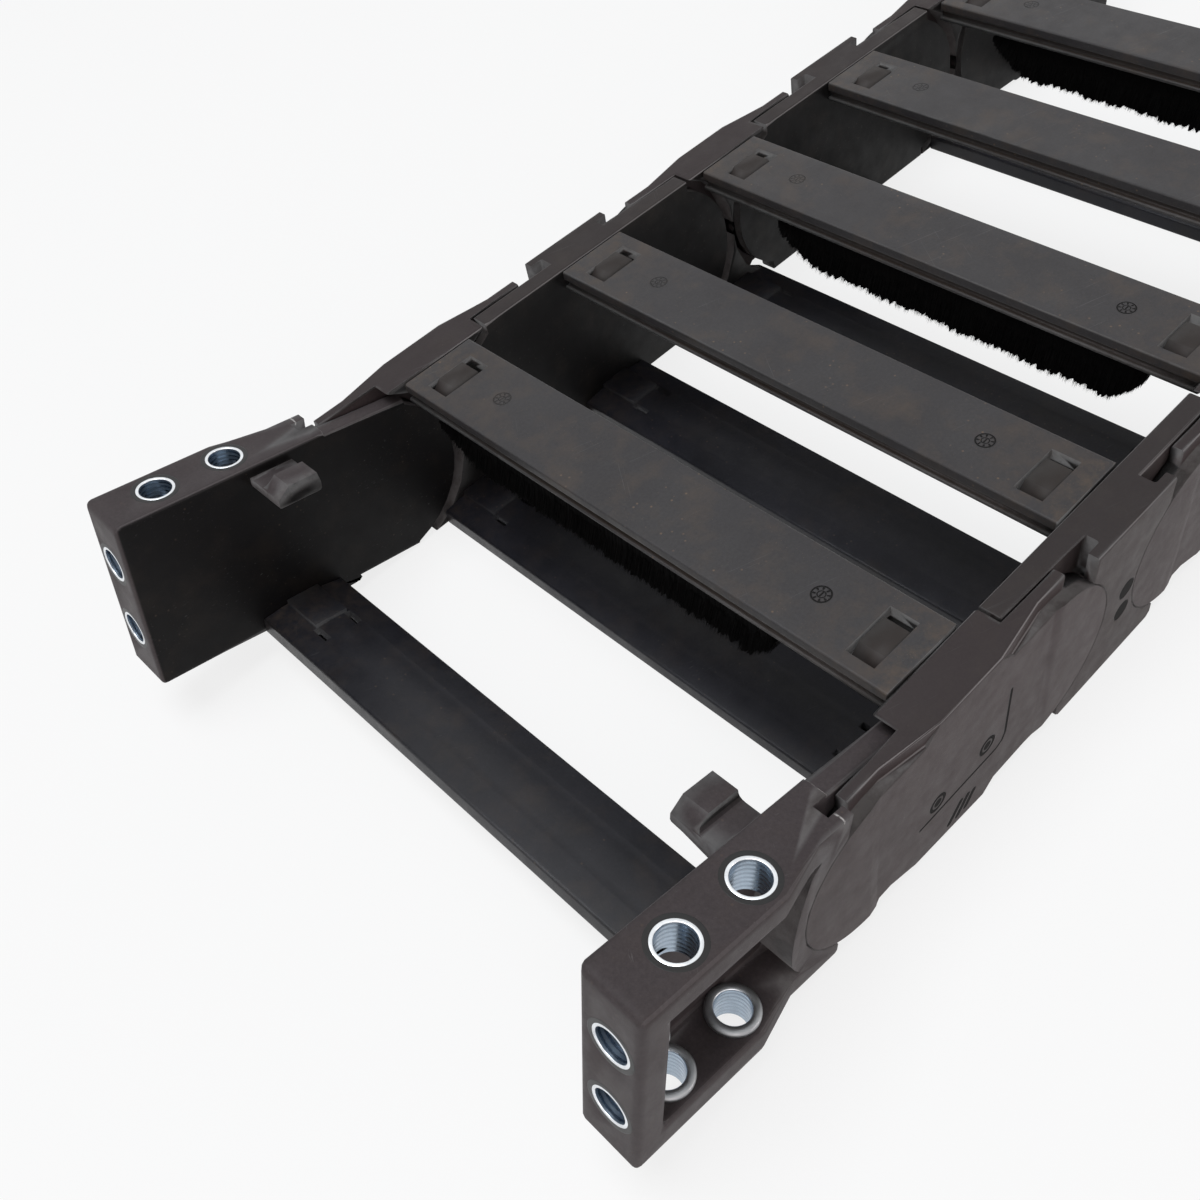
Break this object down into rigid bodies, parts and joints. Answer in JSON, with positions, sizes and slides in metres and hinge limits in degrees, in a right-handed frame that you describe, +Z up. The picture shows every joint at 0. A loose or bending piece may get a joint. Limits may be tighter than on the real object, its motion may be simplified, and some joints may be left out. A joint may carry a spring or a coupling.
{
  "type": "cable drag chain",
  "caption": "Open cable drag chain: hinged links of side plates and snap-in crossbars, brush strips under bars, and end brackets with steel bushings.",
  "frame": {"origin": "on the floor under the centre of the chain's bounding box", "axes": "+X along the chain from the near brackets to the far ones, +Y across it to the left, +Z up"},
  "size_m": [0.3476, 0.1494, 0.0534],
  "materials": {
    "side_plate": "moulded glass-filled nylon, charcoal, scuffed and dusty",
    "top_bar": "moulded nylon, charcoal, fine scratches and brown dust",
    "bottom_bar": "moulded nylon, black, satin",
    "bracket": "moulded glass-filled nylon, charcoal, clean",
    "bushing": "turned steel, bright zinc plated",
    "fibre": "dense black brush fibre"
  },
  "bodies": {
    "near_end": {"near_left_bracket": "bracket", "near_right_bracket": "bracket", "near_bushings": "bushing", "near_bottom_bar": "bottom_bar"},
    "link_1": {"link_1_left_plate": "side_plate", "link_1_right_plate": "side_plate", "link_1_top_bar": "top_bar", "link_1_bottom_bar": "bottom_bar", "link_1_fibre_strip": "fibre"},
    "link_2": {"link_2_left_plate": "side_plate", "link_2_right_plate": "side_plate", "link_2_top_bar": "top_bar", "link_2_bottom_bar": "bottom_bar"},
    "link_3": {"link_3_left_plate": "side_plate", "link_3_right_plate": "side_plate", "link_3_top_bar": "top_bar", "link_3_bottom_bar": "bottom_bar", "link_3_fibre_strip": "fibre"},
    "link_4": {"link_4_left_plate": "side_plate", "link_4_right_plate": "side_plate", "link_4_top_bar": "top_bar", "link_4_bottom_bar": "bottom_bar"},
    "link_5": {"link_5_left_plate": "side_plate", "link_5_right_plate": "side_plate", "link_5_top_bar": "top_bar", "link_5_bottom_bar": "bottom_bar", "link_5_fibre_strip": "fibre"},
    "far_end": {"far_left_bracket": "bracket", "far_right_bracket": "bracket", "far_bushings": "bushing", "far_bottom_bar": "bottom_bar"}
  },
  "joints": [
    {"name": "joint_1", "type": "hinge", "parent": "link_1", "child": "near_end", "pos_m": [-0.11347, 0, 0.021], "axis": [0, 1, 0], "range_deg": [-12.4, 14.19]},
    {"name": "joint_2", "type": "hinge", "parent": "link_1", "child": "link_2", "pos_m": [-0.06747, 0, 0.021], "axis": [0, -1, 0], "range_deg": [0, 26.59]},
    {"name": "joint_3", "type": "hinge", "parent": "link_2", "child": "link_3", "pos_m": [-0.02147, 0, 0.021], "axis": [0, -1, 0], "range_deg": [0, 26.59]},
    {"name": "joint_4", "type": "hinge", "parent": "link_3", "child": "link_4", "pos_m": [0.02453, 0, 0.021], "axis": [0, -1, 0], "range_deg": [0, 26.59]},
    {"name": "joint_5", "type": "hinge", "parent": "link_4", "child": "link_5", "pos_m": [0.07053, 0, 0.021], "axis": [0, -1, 0], "range_deg": [0, 26.59]},
    {"name": "joint_6", "type": "hinge", "parent": "link_5", "child": "far_end", "pos_m": [0.11653, 0, 0.021], "axis": [0, -1, 0], "range_deg": [0, 26.59]}
  ]
}
